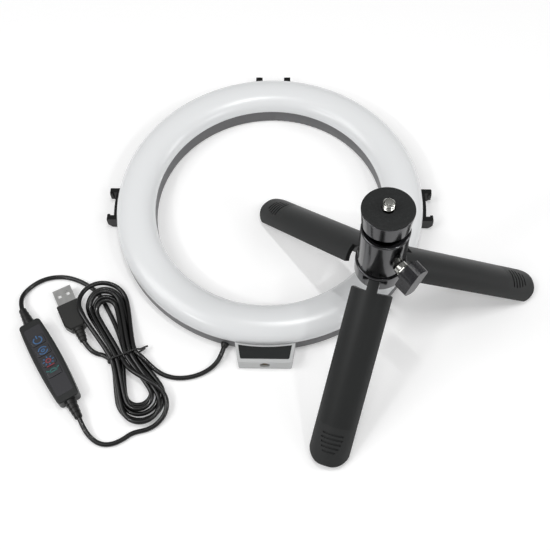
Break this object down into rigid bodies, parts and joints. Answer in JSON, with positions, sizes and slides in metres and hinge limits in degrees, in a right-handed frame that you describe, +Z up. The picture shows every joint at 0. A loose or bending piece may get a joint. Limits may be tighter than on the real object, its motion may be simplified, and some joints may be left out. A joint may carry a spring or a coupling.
{
  "type": "ring light",
  "caption": "Round LED ring light with side clips and a threaded socket block, a hanked USB lead with inline controller, and a folding mini tripod with ball head.",
  "frame": {"origin": "middle of the footprint of the ring and tripod, on the surface that they stand on", "axes": "+Z up, out of the diffuser; -Y from the ring towards its threaded socket block"},
  "size_m": [0.3315, 0.285, 0.1283],
  "materials": {
    "housing_grey": "fine satin, moulded ABS",
    "white_plastic": "plain moulding",
    "steel": "bright zinc plate",
    "board_white": "white solder mask",
    "led_yellow": "phosphor cap",
    "opal_diffuser": "opal satin",
    "block_grey": "satin light grey",
    "black_gloss": "dark glossy window",
    "brass_insert": "turned brass",
    "soft_black": "soft moulded PVC",
    "clip_black": "satin black",
    "cable_black": "glossy PVC sheath",
    "tie_black": "plastic-covered wire",
    "case_black": "satin black",
    "label_film": "dark film",
    "board_green": "green solder mask",
    "key_film": "dark film with coloured symbols",
    "plug_steel": "nickel plate",
    "gold_contact": "gold plate",
    "gunmetal": "black chrome",
    "nylon_white": "nylon",
    "knob_black": "satin black",
    "ball_black": "black chrome",
    "pad_black": "grained rubber",
    "leg_shell": "soft-touch dark grey",
    "leg_rubber": "matt rubber"
  },
  "bodies": {
    "ring": {"rear_housing": "housing_grey", "led_carrier": "white_plastic", "housing_screws": "steel", "led_board": "board_white", "led_chips": "led_yellow", "diffuser": "opal_diffuser", "socket_block": "block_grey", "socket_window": "black_gloss", "socket_insert": "brass_insert", "block_screws": "steel", "cable_gland": "soft_black", "accessory_clip_right": "clip_black", "accessory_clip_top": "clip_black", "accessory_clip_left": "clip_black", "cable_lead": "cable_black", "cable_lower_tail": "cable_black", "cable_upper_tail": "cable_black", "cable_plug_lead": "cable_black", "cable_hank": "cable_black", "hank_tie": "tie_black", "controller_base": "case_black", "controller_cover": "case_black", "controller_label": "label_film", "controller_board": "board_green", "controller_switches": "steel", "relief_upper": "soft_black", "relief_lower": "soft_black", "plug_overmould": "soft_black", "plug_shell": "plug_steel", "plug_tongue": "white_plastic", "plug_contacts": "gold_contact", "plug_relief": "soft_black"},
    "tripod": {"hub": "gunmetal", "hinge_pins": "steel", "head_stud": "steel", "head_barrel": "gunmetal", "lock_wedge": "brass_insert"},
    "front_leg": {"leg_front": "leg_shell", "foot_front": "leg_rubber"},
    "right_leg": {"leg_right": "leg_shell", "foot_right": "leg_rubber"},
    "left_leg": {"leg_left": "leg_shell", "foot_left": "leg_rubber"},
    "seat": {"ball_seat": "nylon_white"},
    "ball": {"ball_stem": "ball_black"},
    "camera_plate": {"platform": "gunmetal", "platform_pad": "pad_black", "camera_screw": "steel"},
    "lock": {"lock_screw": "steel", "lock_knob": "knob_black"},
    "key_power": {"button_power": "key_film"},
    "key_colour": {"button_colour": "key_film"},
    "key_brighter": {"button_brighter": "key_film"},
    "key_dimmer": {"button_dimmer": "key_film"}
  },
  "joints": [
    {"name": "tripod_lift", "type": "slide", "parent": "ring", "child": "tripod", "axis": [0, 0, 1], "range_m": [0, 0.15]},
    {"name": "leg_fold_front", "type": "hinge", "parent": "tripod", "child": "front_leg", "pos_m": [0.03354, -0.04953, 0.06827], "axis": [0.9573, -0.289, 0], "range_deg": [0, 54]},
    {"name": "leg_fold_right", "type": "hinge", "parent": "tripod", "child": "right_leg", "pos_m": [0.04497, -0.03918, 0.06827], "axis": [-0.1925, 0.9813, 0], "range_deg": [0, 54]},
    {"name": "leg_fold_left", "type": "hinge", "parent": "tripod", "child": "left_leg", "pos_m": [0.03022, -0.03413, 0.06827], "axis": [-0.7536, -0.6574, 0], "range_deg": [0, 54]},
    {"name": "ball_pan", "type": "hinge", "parent": "tripod", "child": "seat", "pos_m": [0.03614, -0.04091, 0.09777], "axis": [0, 0, 1], "continuous": true},
    {"name": "ball_tilt", "type": "hinge", "parent": "seat", "child": "ball", "pos_m": [0.03614, -0.04091, 0.09777], "axis": [1, 0, 0], "range_deg": [-3.5, 15.5]},
    {"name": "plate_spin", "type": "hinge", "parent": "ball", "child": "camera_plate", "pos_m": [0.03614, -0.04091, 0.09777], "axis": [0, 0.1045, 0.9945], "continuous": true},
    {"name": "lock_turn", "type": "hinge", "parent": "tripod", "child": "lock", "pos_m": [0.03614, -0.04091, 0.08377], "axis": [0.6374, -0.7705, 0], "range_deg": [0, 270]},
    {"name": "press_power", "type": "slide", "parent": "ring", "child": "key_power", "axis": [0, 0, -1], "range_m": [0, 0.00035], "stiffness_N_per_m": 800, "springref_m": -0.0003},
    {"name": "press_colour", "type": "slide", "parent": "ring", "child": "key_colour", "axis": [0, 0, -1], "range_m": [0, 0.00035], "stiffness_N_per_m": 800, "springref_m": -0.0003},
    {"name": "press_brighter", "type": "slide", "parent": "ring", "child": "key_brighter", "axis": [0, 0, -1], "range_m": [0, 0.00035], "stiffness_N_per_m": 800, "springref_m": -0.0003},
    {"name": "press_dimmer", "type": "slide", "parent": "ring", "child": "key_dimmer", "axis": [0, 0, -1], "range_m": [0, 0.00035], "stiffness_N_per_m": 800, "springref_m": -0.0003}
  ],
  "couplings": [
    {"joint": "leg_fold_front", "follows": "tripod_lift", "rad_per_m": 6.2832},
    {"joint": "leg_fold_right", "follows": "tripod_lift", "rad_per_m": 6.2832},
    {"joint": "leg_fold_left", "follows": "tripod_lift", "rad_per_m": 6.2832}
  ]
}
